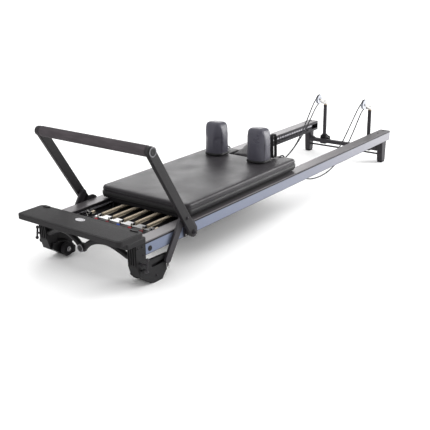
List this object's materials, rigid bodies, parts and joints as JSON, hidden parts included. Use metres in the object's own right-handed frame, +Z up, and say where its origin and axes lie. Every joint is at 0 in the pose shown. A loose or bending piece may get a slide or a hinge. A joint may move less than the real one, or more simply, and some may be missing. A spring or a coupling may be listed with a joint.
{
  "type": "pilates reformer",
  "caption": "Low exercise bed: padded carriage on springs rolling in aluminium rails, with tilting footbar, shoulder rests, headrest, foot platform, rope pulleys on risers.",
  "frame": {"origin": "on the floor under the middle of the length and width", "axes": "+X from the foot end to the head end, +Y to the user's left when lying on the carriage, +Z up"},
  "size_m": [2.59, 0.717, 0.6265],
  "materials": {
    "rail": "satin anodised extrusion",
    "black_plastic": "moulded, fine texture",
    "platform": "fine non-slip texture",
    "black_steel": "dark powder coat",
    "footbar": "dark powder coat",
    "board": "black laminated plywood",
    "vinyl": "soft-sheen upholstery vinyl",
    "strap": "woven webbing",
    "rope": "braided cord",
    "foam": "closed-cell foam",
    "rubber": "matte",
    "chrome": "polished plating",
    "pulley_plastic": "translucent white"
  },
  "bodies": {
    "frame": {"rail_left": "rail", "rail_right": "rail", "rail_cap_left": "black_plastic", "rail_cap_right": "black_plastic", "front_crossmember": "black_steel", "rear_crossmember": "black_steel", "rear_tie_bar": "black_steel", "rear_leg_left": "black_steel", "rear_leg_right": "black_steel", "rear_foot_left": "rubber", "rear_foot_right": "rubber", "foot_platform": "platform", "stand_left": "black_plastic", "stand_right": "black_plastic", "stand_bow": "black_plastic", "spring_bar": "black_steel", "spring_1": "chrome", "spring_2": "chrome", "spring_3": "chrome", "spring_4": "chrome", "spring_5": "chrome", "footbar_bracket_left": "black_steel", "footbar_bracket_right": "black_steel", "riser_socket_left": "black_plastic", "riser_socket_right": "black_plastic", "rope_left": "rope", "rope_right": "rope"},
    "carriage": {"carriage_frame": "board", "carriage_chassis": "black_steel", "carriage_pad": "vinyl", "hook_post_left": "black_steel", "hook_post_right": "black_steel", "hand_loop_left": "strap", "hand_loop_right": "strap"},
    "headrest": {"headrest_board": "board", "headrest_pad": "vinyl"},
    "footbar": {"footbar_frame": "footbar", "footbar_sleeve": "foam"},
    "carriage_wheel_front_left": {"carriage_wheel_front_left": "black_plastic"},
    "carriage_wheel_front_right": {"carriage_wheel_front_right": "black_plastic"},
    "carriage_wheel_rear_left": {"carriage_wheel_rear_left": "black_plastic"},
    "carriage_wheel_rear_right": {"carriage_wheel_rear_right": "black_plastic"},
    "shoulder_rest_left": {"rest_post_left": "black_steel", "shoulder_rest_left": "vinyl"},
    "shoulder_rest_right": {"rest_post_right": "black_steel", "shoulder_rest_right": "vinyl"},
    "footbar_strut_left": {"footbar_strut_left": "black_steel"},
    "footbar_strut_right": {"footbar_strut_right": "black_steel"},
    "lock_screw_left": {"lock_screw_left": "black_steel"},
    "lock_screw_right": {"lock_screw_right": "black_steel"},
    "transport_wheel_left": {"transport_wheel_left": "rubber"},
    "transport_wheel_right": {"transport_wheel_right": "rubber"},
    "riser_left": {"riser_left": "black_steel"},
    "pulley_swivel_left": {"pulley_swivel_left": "chrome"},
    "pulley_left": {"pulley_left": "pulley_plastic"},
    "riser_knob_left": {"riser_knob_left": "black_plastic"},
    "riser_right": {"riser_right": "black_steel"},
    "pulley_swivel_right": {"pulley_swivel_right": "chrome"},
    "pulley_right": {"pulley_right": "pulley_plastic"},
    "riser_knob_right": {"riser_knob_right": "black_plastic"}
  },
  "joints": [
    {"name": "carriage_slide", "type": "slide", "parent": "frame", "child": "carriage", "axis": [1, 0, 0], "range_m": [0, 0.95], "stiffness_N_per_m": 675, "springref_m": -0.05, "deforming": ["spring_1", "spring_2", "spring_3", "spring_4", "spring_5", "rope_left", "rope_right"]},
    {"name": "carriage_wheel_front_left_spin", "type": "hinge", "parent": "carriage", "child": "carriage_wheel_front_left", "pos_m": [-0.718, 0.2545, 0.1743], "axis": [0, 1, 0], "continuous": true},
    {"name": "carriage_wheel_front_right_spin", "type": "hinge", "parent": "carriage", "child": "carriage_wheel_front_right", "pos_m": [-0.718, -0.2545, 0.1743], "axis": [0, 1, 0], "continuous": true},
    {"name": "carriage_wheel_rear_left_spin", "type": "hinge", "parent": "carriage", "child": "carriage_wheel_rear_left", "pos_m": [0.067, 0.2545, 0.1743], "axis": [0, 1, 0], "continuous": true},
    {"name": "carriage_wheel_rear_right_spin", "type": "hinge", "parent": "carriage", "child": "carriage_wheel_rear_right", "pos_m": [0.067, -0.2545, 0.1743], "axis": [0, 1, 0], "continuous": true},
    {"name": "headrest_tilt", "type": "hinge", "parent": "carriage", "child": "headrest", "pos_m": [0.04, 0, 0.233], "axis": [0, -1, 0], "range_deg": [-14, 14]},
    {"name": "shoulder_rest_left_lift", "type": "slide", "parent": "carriage", "child": "shoulder_rest_left", "axis": [0, 0, 1], "range_m": [0, 0.12]},
    {"name": "shoulder_rest_right_lift", "type": "slide", "parent": "carriage", "child": "shoulder_rest_right", "axis": [0, 0, 1], "range_m": [0, 0.12]},
    {"name": "footbar_tilt", "type": "hinge", "parent": "frame", "child": "footbar", "pos_m": [-0.838, 0, 0.17], "axis": [0, -1, 0], "range_deg": [0, 40]},
    {"name": "footbar_strut_left_swing", "type": "hinge", "parent": "footbar", "child": "footbar_strut_left", "pos_m": [-0.88538, 0.32, 0.24886], "axis": [0, -1, 0], "range_deg": [-60, 0]},
    {"name": "footbar_strut_right_swing", "type": "hinge", "parent": "footbar", "child": "footbar_strut_right", "pos_m": [-0.88538, -0.32, 0.24886], "axis": [0, -1, 0], "range_deg": [-60, 0]},
    {"name": "lock_screw_left_turn", "type": "hinge", "parent": "frame", "child": "lock_screw_left", "pos_m": [-1.165, 0.32, 0.12], "axis": [0, 1, 0], "range_deg": [0, 360]},
    {"name": "lock_screw_right_turn", "type": "hinge", "parent": "frame", "child": "lock_screw_right", "pos_m": [-1.165, -0.32, 0.12], "axis": [0, 1, 0], "range_deg": [0, 360]},
    {"name": "transport_wheel_left_spin", "type": "hinge", "parent": "frame", "child": "transport_wheel_left", "pos_m": [-1.095, 0.228, 0.042], "axis": [0, 1, 0], "continuous": true},
    {"name": "transport_wheel_right_spin", "type": "hinge", "parent": "frame", "child": "transport_wheel_right", "pos_m": [-1.095, -0.228, 0.042], "axis": [0, 1, 0], "continuous": true},
    {"name": "riser_left_slide", "type": "slide", "parent": "frame", "child": "riser_left", "axis": [0, 0, 1], "range_m": [0, 0.035]},
    {"name": "pulley_swivel_left_turn", "type": "hinge", "parent": "riser_left", "child": "pulley_swivel_left", "pos_m": [1.267, 0.168, 0.34], "axis": [0, 0, 1], "range_deg": [-40, 40]},
    {"name": "pulley_left_spin", "type": "hinge", "parent": "pulley_swivel_left", "child": "pulley_left", "pos_m": [1.175, 0.168, 0.386], "axis": [0, 1, 0], "continuous": true},
    {"name": "riser_knob_left_turn", "type": "hinge", "parent": "frame", "child": "riser_knob_left", "pos_m": [1.267, 0.14, 0.098], "axis": [0, 1, 0], "range_deg": [0, 360]},
    {"name": "riser_right_slide", "type": "slide", "parent": "frame", "child": "riser_right", "axis": [0, 0, 1], "range_m": [0, 0.035]},
    {"name": "pulley_swivel_right_turn", "type": "hinge", "parent": "riser_right", "child": "pulley_swivel_right", "pos_m": [1.267, -0.168, 0.34], "axis": [0, 0, 1], "range_deg": [-40, 40]},
    {"name": "pulley_right_spin", "type": "hinge", "parent": "pulley_swivel_right", "child": "pulley_right", "pos_m": [1.175, -0.168, 0.386], "axis": [0, 1, 0], "continuous": true},
    {"name": "riser_knob_right_turn", "type": "hinge", "parent": "frame", "child": "riser_knob_right", "pos_m": [1.267, -0.14, 0.098], "axis": [0, 1, 0], "range_deg": [0, 360]}
  ],
  "couplings": [
    {"joint": "carriage_wheel_front_left_spin", "follows": "carriage_slide", "rad_per_m": 71.429},
    {"joint": "carriage_wheel_front_right_spin", "follows": "carriage_slide", "rad_per_m": 71.429},
    {"joint": "carriage_wheel_rear_left_spin", "follows": "carriage_slide", "rad_per_m": 71.429},
    {"joint": "carriage_wheel_rear_right_spin", "follows": "carriage_slide", "rad_per_m": 71.429},
    {"joint": "footbar_strut_left_swing", "follows": "footbar_tilt", "ratio": -1.5},
    {"joint": "footbar_strut_right_swing", "follows": "footbar_tilt", "ratio": -1.5}
  ]
}
